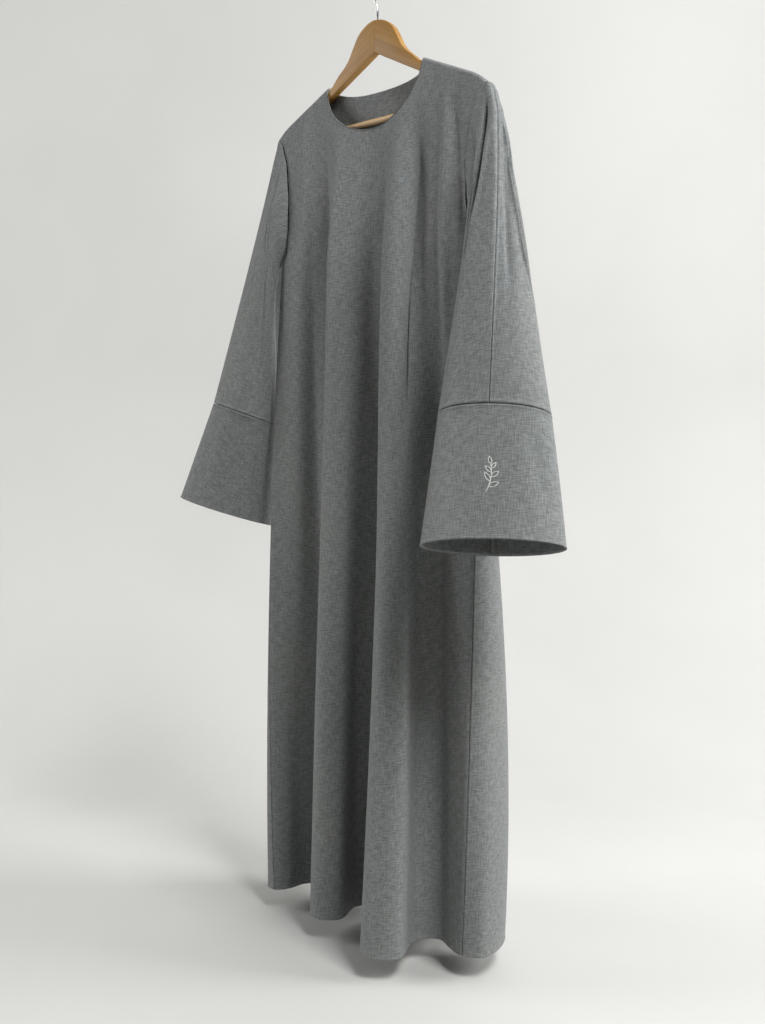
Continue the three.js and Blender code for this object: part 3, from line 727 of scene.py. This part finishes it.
# Selects, in edit mode, the faces or edges that wanted() picks.
def pick(piece, kind, wanted):
    bpy.ops.mesh.select_all(action="DESELECT")
    bpy.context.tool_settings.mesh_select_mode = (False, kind == "edges", kind == "faces")
    mesh = bmesh.from_edit_mesh(piece.data)
    for part in mesh.faces if kind == "faces" else mesh.edges:
        part.select = bool(wanted(part))
    mesh.select_flush_mode()
    bmesh.update_edit_mesh(piece.data)


# One arm: a block at the crown, pushed out station by station to the tip, with its long edges rounded.
def hangerArm(side, name):
    bpy.ops.object.select_all(action="DESELECT")
    near, far = hanger["jointGap"], hanger["stations"][0]
    thick = hanger["thick"]
    low, high = armLower(0), armUpper(0, side)
    bpy.ops.mesh.primitive_cube_add(
        size=1,
        location=(side * (near + far) / 2 * mm, 0, (low + high) / 2 * mm),
        scale=((far - near) * mm, thick * mm, (high - low) * mm),
    )
    piece = startPiece(name)
    bpy.ops.object.mode_set(mode="EDIT")
    pick(piece, "faces", lambda face: side * face.calc_center_median().x > (far - 0.5) * mm)
    oldMiddle, oldHeight = (low + high) / 2, high - low
    oldX = far
    for x in hanger["stations"]:
        middle = (armUpper(x, side) + armLower(x)) / 2
        height = armUpper(x, side) - armLower(x)
        shift = (side * (x - oldX) * mm, 0, (middle - oldMiddle) * mm)
        if x > far:
            bpy.ops.mesh.extrude_region_move(TRANSFORM_OT_translate={"value": shift})
        else:
            bpy.ops.transform.translate(value=shift)
        bpy.ops.transform.resize(value=(1, 1, height / oldHeight), center_override=(side * x * mm, 0, middle * mm))
        oldMiddle, oldHeight, oldX = middle, height, x
    rim = (thick / 2 - 0.01) * mm

    def isLong(edge):
        ends = [vertex.co for vertex in edge.verts]
        atEdge = all(abs(end.y) > rim for end in ends) and ends[0].y * ends[1].y > 0
        onJoint = all(abs(end.x) < (near + 0.05) * mm for end in ends)
        inFace = abs(ends[0].x - ends[1].x) < 1e-6 and abs(ends[0].x) < (hanger["stations"][-1] - 0.1) * mm
        return atEdge and not onJoint and not inFace

    pick(piece, "edges", isLong)
    bpy.ops.mesh.bevel(offset=hanger["round"] * mm, offset_type="OFFSET", segments=4, profile=0.5,
                       affect="EDGES", clamp_overlap=True)
    bpy.ops.mesh.select_all(action="SELECT")
    bpy.ops.mesh.normals_make_consistent(inside=False)
    bpy.ops.object.mode_set(mode="OBJECT")
    return piece


def boreOut(piece, radius, depth, location, rotation):
    bpy.ops.object.select_all(action="DESELECT")
    bpy.ops.mesh.primitive_cylinder_add(vertices=32, radius=radius * mm, depth=depth * mm,
                                        location=location, rotation=rotation)
    drill = startPiece("drill")
    cut = piece.modifiers.new("bore", "BOOLEAN")
    cut.operation = "DIFFERENCE"
    cut.object = drill
    cut.solver = "EXACT"
    applyModifier(piece, cut)
    bpy.data.objects.remove(drill)


def smoothed(piece, degrees):
    selectOnly(piece)
    bpy.ops.object.shade_smooth_by_angle(angle=math.radians(degrees))
    return piece


hook = {"wireRadius": 1.75, "footDrop": 103, "bendDrop": 68, "bendRadius": 38.9, "bendTurn": 40,
        "straight": 11.75, "ringRadius": 21.75, "ringTurn": 240, "boreDepth": 24, "sides": 16}


# The stem goes straight up, leans over, and rounds the rail.
def hangerHook(name):
    bpy.ops.object.select_all(action="DESELECT")
    bpy.ops.mesh.primitive_circle_add(vertices=hook["sides"], radius=hook["wireRadius"] * mm, fill_type="NGON",
                                      location=(0, 0, -hook["footDrop"] * mm))
    piece = startPiece(name)
    bpy.ops.object.mode_set(mode="EDIT")
    bpy.ops.mesh.select_all(action="SELECT")
    rise = (hook["footDrop"] - hook["bendDrop"]) * mm
    bpy.ops.mesh.extrude_region_move(TRANSFORM_OT_translate={"value": (0, 0, rise)})
    turn = math.radians(hook["bendTurn"])
    bpy.ops.mesh.spin(steps=12, angle=turn, center=(-hook["bendRadius"] * mm, 0, -hook["bendDrop"] * mm),
                      axis=(0, 1, 0))
    away = (-math.sin(turn) * hook["straight"] * mm, 0, math.cos(turn) * hook["straight"] * mm)
    bpy.ops.mesh.extrude_region_move(TRANSFORM_OT_translate={"value": away})
    bpy.ops.mesh.spin(steps=48, angle=-math.radians(hook["ringTurn"]),
                      center=(0, 0, (hook["wireRadius"] - hook["ringRadius"]) * mm), axis=(0, 1, 0))
    bpy.ops.mesh.bevel(offset=0.7 * mm, segments=3, affect="EDGES")
    bpy.ops.mesh.select_all(action="SELECT")
    bpy.ops.mesh.remove_doubles(threshold=1e-6)
    bpy.ops.mesh.normals_make_consistent(inside=False)
    bpy.ops.object.mode_set(mode="OBJECT")
    return smoothed(piece, 50)


def hangerBar(name):
    bpy.ops.object.select_all(action="DESELECT")
    bpy.ops.mesh.primitive_cylinder_add(vertices=40, radius=hanger["barRadius"] * mm,
                                        depth=2 * hanger["barHalf"] * mm,
                                        location=(0, 0, -hanger["barDrop"] * mm), rotation=(0, math.pi / 2, 0))
    piece = startPiece(name)
    bpy.ops.object.mode_set(mode="EDIT")
    pick(piece, "faces", lambda face: abs(face.normal.x) > 0.9)
    bpy.ops.mesh.bevel(offset=0.8 * mm, segments=3, affect="EDGES")
    bpy.ops.object.mode_set(mode="OBJECT")
    return smoothed(piece, 35)


woodPieces = {}
for side, key in ((1, "left"), (-1, "right")):
    arm = hangerArm(side, f"{key}_arm")
    boreOut(arm, hook["wireRadius"] + hanger["socketGap"], 2 * hook["boreDepth"],
            (0, 0, -hanger["crownDrop"] * mm), (0, 0, 0))
    boreOut(arm, hanger["barRadius"] + hanger["socketGap"], 2 * (hanger["barHalf"] + hanger["socketGap"]),
            (0, 0, -hanger["barDrop"] * mm), (0, math.pi / 2, 0))
    woodPieces[f"hanger_arm_{key}"] = smoothed(arm, 32)
woodPieces["hanger_bar"] = hangerBar("bar")
hookPiece = hangerHook("hook")
print("stage: hanger made")

# The embroidery on the left cuff: a sprig of leaves.
sprig = {
    "degrees": 1,  # its middle, round the cuff from the overarm line
    "down": 0.54,
    "degreeLength": 1.62,
    "stem": ((-7, -23), (4, -4), (1, 15)),
    "leaves": (  # place along the stem, side, length, half width
        (0.22, 1, 15, 3.0),
        (0.40, -1, 14, 2.8),
        (0.56, 1, 13, 2.7),
        (0.72, -1, 11.5, 2.4),
        (0.86, 1, 10, 2.2),
    ),
    "endLeaf": (11, 2.4),
    "spreadAngle": 48,
    "threadRadius": 0.62,
    "threadSides": 8,
    "threadFlatness": 0.7,
    "threadEnd": 0.45,  # how thin a thread is at its ends
    "stemSteps": 24,
    "leafSteps": 14,
    "leafPower": 0.85,
    "raised": 0.15,
}


def onCuff(across, up):
    depth = sleeves["left"]["hem"]["drop"] - sleeves["left"]["seam"]["drop"]
    degrees = sprig["degrees"] - across / sprig["degreeLength"]
    down = sprig["down"] - up / depth
    here = cuffPoint(sleeves["left"], degrees, down)
    across = cuffPoint(sleeves["left"], degrees - 0.1, down) - cuffPoint(sleeves["left"], degrees + 0.1, down)
    along = cuffPoint(sleeves["left"], degrees, down + 0.001) - cuffPoint(sleeves["left"], degrees, down - 0.001)
    out = along.cross(across).normalized()
    return here + out * sprig["raised"], out


def stemPlace(part):
    (ax, ay), (bx, by), (cx, cy) = sprig["stem"]
    a, b, c = (1 - part) ** 2, 2 * part * (1 - part), part ** 2
    return a * ax + b * bx + c * cx, a * ay + b * by + c * cy


def leafLines(base, heading, length, half):
    lines = []
    for side in (1, -1):
        line = []
        for step in range(sprig["leafSteps"] + 1):
            part = step / sprig["leafSteps"]
            along = part * length
            off = side * half * math.sin(math.pi * part ** sprig["leafPower"])
            line.append((base[0] + along * math.cos(heading) - off * math.sin(heading),
                         base[1] + along * math.sin(heading) + off * math.cos(heading)))
        lines.append(line)
    return lines


def sprigLines():
    lines = [[stemPlace(step / sprig["stemSteps"]) for step in range(sprig["stemSteps"] + 1)]]
    for part, side, length, half in sprig["leaves"]:
        before, after = stemPlace(part - 0.02), stemPlace(part + 0.02)
        heading = math.atan2(after[1] - before[1], after[0] - before[0])
        lines += leafLines(stemPlace(part), heading - side * math.radians(sprig["spreadAngle"]), length, half)
    before, end = stemPlace(0.96), stemPlace(1)
    heading = math.atan2(end[1] - before[1], end[0] - before[0])
    return lines + leafLines(end, heading, *sprig["endLeaf"])


def sprigPiece(name):
    vertices, faces = [], []
    sides = sprig["threadSides"]
    for line in sprigLines():
        spots = [onCuff(*place) for place in line]
        first = len(vertices)
        for index, (spot, out) in enumerate(spots):
            after = spots[min(index + 1, len(spots) - 1)][0] - spots[max(index - 1, 0)][0]
            across = after.cross(out).normalized()
            thin = sprig["threadEnd"] if index in (0, len(spots) - 1) else 1.0
            for turn in range(sides):
                angle = 2 * math.pi * turn / sides
                ring = across * math.cos(angle) + out * (sprig["threadFlatness"] * math.sin(angle))
                vertices.append((spot + ring * sprig["threadRadius"] * thin) * mm)
        for index in range(len(spots) - 1):
            for turn in range(sides):
                a = first + index * sides + turn
                b = first + index * sides + (turn + 1) % sides
                faces.append((a, b, b + sides, a + sides))
        faces.append(tuple(first + turn for turn in reversed(range(sides))))
        last = first + (len(spots) - 1) * sides
        faces.append(tuple(last + turn for turn in range(sides)))
    mesh = bpy.data.meshes.new(name)
    mesh.from_pydata(vertices, [], faces)
    piece = bpy.data.objects.new(name, mesh)
    bpy.context.scene.collection.objects.link(piece)
    selectOnly(piece)
    bpy.ops.object.mode_set(mode="EDIT")
    bpy.ops.mesh.select_all(action="SELECT")
    bpy.ops.mesh.normals_make_consistent(inside=False)
    bpy.ops.object.mode_set(mode="OBJECT")
    bpy.ops.object.shade_smooth()
    return piece


sprigThread = sprigPiece("leaf_sprig")
print("stage: embroidery made")


# A value or colour on its way through a material's nodes.
class Flow:
    def __init__(self, tree, socket=None):
        self.tree = tree
        self.socket = socket

    def node(self, kind, settings=None, sockets=None, out=0):
        made = self.tree.nodes.new(kind)
        for key, value in (settings or {}).items():
            setattr(made, key, value)
        for key, value in (sockets or {}).items():
            if isinstance(value, Flow):
                self.tree.links.new(value.socket, made.inputs[key])
            else:
                made.inputs[key].default_value = value
        return Flow(self.tree, made.outputs[out])

    def calc(self, operation, first, second):
        return self.node("ShaderNodeMath", {"operation": operation}, {0: first, 1: second})

    def __add__(self, other):
        return self.calc("ADD", self, other)

    def __sub__(self, other):
        return self.calc("SUBTRACT", self, other)

    def __mul__(self, other):
        return self.calc("MULTIPLY", self, other)

    def __rsub__(self, other):
        return self.calc("SUBTRACT", other, self)

    __radd__ = __add__
    __rmul__ = __mul__

    def between(self, low, high):
        return self.node("ShaderNodeMapRange", {"interpolation_type": "SMOOTHSTEP"},
                         {"Value": self, "From Min": low, "From Max": high})

    def mixed(self, first, second):
        return self.node("ShaderNodeMix", {"data_type": "RGBA"}, {0: self, 6: first, 7: second}, out=2)

    def scaled(self, scale, rotation=(0, 0, 0)):
        return self.node("ShaderNodeMapping", {}, {"Vector": self, "Scale": scale, "Rotation": rotation})

    def noise(self, detail=2.0, roughness=0.5, flat=True):
        return self.node("ShaderNodeTexNoise", {"noise_dimensions": "2D" if flat else "3D"},
                         {"Vector": self, "Scale": 1.0, "Detail": detail, "Roughness": roughness})

    def bump(self, strength, distance):
        return self.node("ShaderNodeBump", {}, {"Height": self, "Strength": strength, "Distance": distance})

    def feeds(self, shader, name):
        self.tree.links.new(self.socket, shader.inputs[name])


def newMaterial(name, **fixed):
    material = bpy.data.materials.new(name)
    material.use_nodes = True
    tree = material.node_tree
    shader = tree.nodes["Principled BSDF"]
    for key, value in fixed.items():
        shader.inputs[key.replace("_", " ")].default_value = value
    return material, tree, shader


def rgb(red, green, blue):
    return (red, green, blue, 1.0)


suiting = {
    "dark": rgb(0.098, 0.103, 0.102),
    "light": rgb(0.300, 0.313, 0.309),
    "cool": rgb(0.90, 0.99, 1.07),
    "warm": rgb(1.05, 1.01, 0.92),
    "warpScale": (880, 66, 1),  # threads to the metre across, and streaks to the metre along them
    "weftScale": (70, 920, 1),
    "fibreScale": (1700, 1700, 1),
    "patchScale": (9, 4, 1),
    "weaveScale": (1500, 1500, 1),
    "bump": 0.00022,
}


def suitingMaterial():
    material, tree, shader = newMaterial("grey melange suiting", Roughness=0.88, Sheen_Weight=0.12,
                                         Sheen_Roughness=0.5, Specular_IOR_Level=0.25)
    cloth = Flow(tree).node("ShaderNodeUVMap", {"uv_map": "cloth"})
    warp = cloth.scaled(suiting["warpScale"], (0, 0, 0.6)).noise(1, 0.5)
    weft = cloth.scaled(suiting["weftScale"], (0, 0, 1.0)).noise(1, 0.5)
    fibre = cloth.scaled(suiting["fibreScale"]).noise(1, 0.5)
    patch = cloth.scaled(suiting["patchScale"]).noise(2, 0.5)
    shade = 0.5 + (warp - 0.5) * 0.78 + (weft - 0.5) * 0.85 + (fibre - 0.5) * 0.55 + (patch - 0.5) * 0.1
    colour = shade.between(-0.05, 1.05).mixed(suiting["dark"], suiting["light"])
    tint = patch.between(0.35, 0.65).mixed(suiting["cool"], suiting["warm"])
    tinted = Flow(tree).node("ShaderNodeMix", {"data_type": "RGBA", "blend_type": "MULTIPLY"},
                             {0: 0.12, 6: colour, 7: tint}, out=2)
    tinted.feeds(shader, "Base Color")
    grid = cloth.scaled(suiting["weaveScale"])
    across = grid.node("ShaderNodeTexWave", {"wave_type": "BANDS", "bands_direction": "X"},
                       {"Vector": grid, "Scale": 0.35, "Distortion": 0.6, "Detail": 1.0}, out=1)
    along = grid.node("ShaderNodeTexWave", {"wave_type": "BANDS", "bands_direction": "Y"},
                      {"Vector": grid, "Scale": 0.35, "Distortion": 0.6, "Detail": 1.0}, out=1)
    height = across * along * 0.5 + warp * 0.5 + weft * 0.6
    height.bump(0.4, suiting["bump"]).feeds(shader, "Normal")
    return material


wood = {
    "left": {"pale": rgb(0.43, 0.235, 0.062), "deep": rgb(0.33, 0.160, 0.036), "turn": 27},
    "right": {"pale": rgb(0.44, 0.245, 0.068), "deep": rgb(0.34, 0.170, 0.040), "turn": -27},
    "bar": {"pale": rgb(0.66, 0.47, 0.27), "deep": rgb(0.50, 0.32, 0.16), "turn": 0},
    "grainScale": (7, 210, 130),
    "poreScale": (130, 1500, 1500),
    "cloudScale": (10, 30, 30),
}


def woodMaterial(key):
    tone = wood[key]
    material, tree, shader = newMaterial(f"lacquered wood {key}", Coat_Weight=0.05, Coat_Roughness=0.35,
                                         Specular_IOR_Level=0.25)
    place = Flow(tree).node("ShaderNodeTexCoord", out=3)
    along = place.scaled((1, 1, 1), (0, math.radians(-tone["turn"]), 0))
    grain = along.scaled(wood["grainScale"]).noise(4, 0.6, flat=False)
    pores = along.scaled(wood["poreScale"]).noise(1, 0.5, flat=False)
    cloud = along.scaled(wood["cloudScale"]).noise(2, 0.5, flat=False)
    figure = grain * 0.7 + cloud * 0.3
    colour = figure.between(0.34, 0.66).mixed(tone["deep"], tone["pale"])
    flecks = pores.between(0.60, 0.70) * 0.45
    flecked = flecks.mixed(colour, tone["deep"])
    flecked.feeds(shader, "Base Color")
    (0.36 + grain * 0.16).feeds(shader, "Roughness")
    height = grain * 0.6 - pores.between(0.6, 0.7) * 0.4
    height.bump(0.3, 0.0002).feeds(shader, "Normal")
    return material


def wireMaterial():
    material, tree, shader = newMaterial("chromed wire", Metallic=1.0)
    place = Flow(tree).node("ShaderNodeTexCoord", out=3)
    drawn = place.scaled((900, 900, 60)).noise(2, 0.5, flat=False)
    spots = place.scaled((160, 160, 160)).noise(2, 0.5, flat=False)
    colour = spots.between(0.4, 0.7).mixed(rgb(0.42, 0.43, 0.44), rgb(0.50, 0.51, 0.52))
    colour.feeds(shader, "Base Color")
    (0.14 + drawn * 0.12).feeds(shader, "Roughness")
    return material


def threadMaterial():
    material, tree, shader = newMaterial("embroidery thread", Sheen_Weight=0.2, Specular_IOR_Level=0.55)
    place = Flow(tree).node("ShaderNodeTexCoord", out=3)
    stitches = place.scaled((900, 900, 1900), (0.5, 0.4, 0)).noise(1, 0.5, flat=False)
    colour = stitches.between(0.3, 0.7).mixed(rgb(0.52, 0.52, 0.50), rgb(0.80, 0.80, 0.77))
    colour.feeds(shader, "Base Color")
    (0.40 + stitches * 0.2).feeds(shader, "Roughness")
    stitches.bump(0.6, 0.0003).feeds(shader, "Normal")
    return material


def paint(piece, material):
    piece.data.materials.clear()
    piece.data.materials.append(material)


suitingCloth = suitingMaterial()
print("stage: materials made")

# Every piece goes on the one body, and those with a CAD node take its place.
for node, piece in clothPieces.items():
    paint(piece, suitingCloth)
    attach(piece, "root")
    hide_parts(node)
    extra = [sprigThread] if node == "left_cuff" else []

for node, piece in woodPieces.items():
    key = node.split("_")[-1]
    paint(piece, woodMaterial(key))
    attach(piece, "root")
    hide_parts(node)
    "bar_wood" if key == "bar" else "hanger_wood"

paint(hookPiece, wireMaterial())
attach(hookPiece, "root")
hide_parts("hanger_hook")

paint(sprigThread, threadMaterial())
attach(sprigThread, "root")

# The floor and the wall behind the part, in metres but for its drop.
stage = {
    "floorDrop": 1572,
    "heading": -42,  # degrees the wall faces, from the front towards the wearer's left
    "floorAhead": 1.5,  # metres of floor in front of the part, and behind it up to the sweep
    "floorBehind": 0.75,
    "sweep": 1.1,  # radius of the bend from the floor to the wall
    "sweepSteps": 24,
    "wallHeight": 5.0,
    "halfWidth": 2.6,
    "worldTone": 0.05,
}


# A floor that sweeps up into a wall, pushed up and round from one long edge.
def makeStage():
    bpy.ops.object.select_all(action="DESELECT")
    turn = math.radians(stage["heading"])
    back = Vector((math.sin(turn), math.cos(turn), 0))
    level = -stage["floorDrop"] * mm
    depth = stage["floorAhead"] + stage["floorBehind"]
    middle = back * ((stage["floorBehind"] - stage["floorAhead"]) / 2)
    bpy.ops.mesh.primitive_plane_add(size=1, location=(middle.x, middle.y, level), rotation=(0, 0, -turn))
    bpy.context.object.scale = (2 * stage["halfWidth"], depth, 1)
    backdrop = startPiece("backdrop")
    bpy.ops.object.mode_set(mode="EDIT")
    edge = stage["floorBehind"] - 0.001
    pick(backdrop, "edges", lambda line: all(vertex.co.dot(back) > edge for vertex in line.verts))
    turnPlace = back * stage["floorBehind"] + Vector((0, 0, level + stage["sweep"]))
    across = Vector((back.y, -back.x, 0))
    bpy.ops.mesh.spin(steps=stage["sweepSteps"], angle=-math.pi / 2, center=turnPlace, axis=across)
    bpy.ops.mesh.extrude_region_move(TRANSFORM_OT_translate={"value": (0, 0, stage["wallHeight"])})
    bpy.ops.mesh.select_all(action="SELECT")
    bpy.ops.mesh.normals_make_consistent(inside=True)
    bpy.ops.object.mode_set(mode="OBJECT")
    bpy.ops.object.shade_smooth()
    material, tree, shader = newMaterial("pale backdrop", Roughness=0.8, Specular_IOR_Level=0.2)
    place = Flow(tree).node("ShaderNodeTexCoord", out=3)
    scuffs = place.scaled((1.3, 1.3, 1.3)).noise(3, 0.55, flat=False)
    colour = scuffs.between(0.3, 0.7).mixed(rgb(0.595, 0.594, 0.574), rgb(0.625, 0.624, 0.604))
    colour.feeds(shader, "Base Color")
    # Its rear side is clear, so that the part also shows from behind the wall.
    behind = Flow(tree).node("ShaderNodeNewGeometry", out=6)
    clear = Flow(tree).node("ShaderNodeBsdfTransparent")
    faces = Flow(tree).node("ShaderNodeMixShader", {}, {0: behind, 1: Flow(tree, shader.outputs[0]), 2: clear})
    faces.feeds(tree.nodes["Material Output"], "Surface")
    paint(backdrop, material)


def makeWorld():
    world = bpy.data.worlds.new("studio")
    bpy.context.scene.world = world
    world.use_nodes = True
    background = world.node_tree.nodes["Background"]
    background.inputs["Color"].default_value = rgb(1.0, 1.0, 0.985)
    background.inputs["Strength"].default_value = stage["worldTone"]


# Soft boxes: where each stands, what it faces, its size in metres and its power in watts.
lights = {
    "key": {"place": (-2.8, -2.05, 0.5), "aim": (0, 0, -0.8), "size": 1.4, "power": 64},
    "side": {"place": (2.3, -0.65, 2.0), "aim": (0.1, 0, -0.8), "size": 1.2, "power": 122},
    "back": {"place": (2.2, 1.7, 0.2), "aim": (0.1, 0, -0.8), "size": 1.2, "power": 62},
    "wall": {"place": (1.2, 0.9, 2.4), "aim": (-0.6, 1.9, -0.2), "size": 1.8, "power": 30},
}


def makeLights():
    for name, light in lights.items():
        data = bpy.data.lights.new(name, "AREA")
        data.shape = "SQUARE"
        data.size = light["size"]
        data.energy = light["power"]
        lamp = bpy.data.objects.new(name, data)
        lamp.location = light["place"]
        heading = Vector(light["aim"]) - Vector(light["place"])
        lamp.rotation_euler = heading.to_track_quat("-Z", "Y").to_euler()
        bpy.context.scene.collection.objects.link(lamp)


makeStage()
makeWorld()
makeLights()
bpy.context.scene.view_settings.view_transform = "Standard"
print("stage: floor and light made")
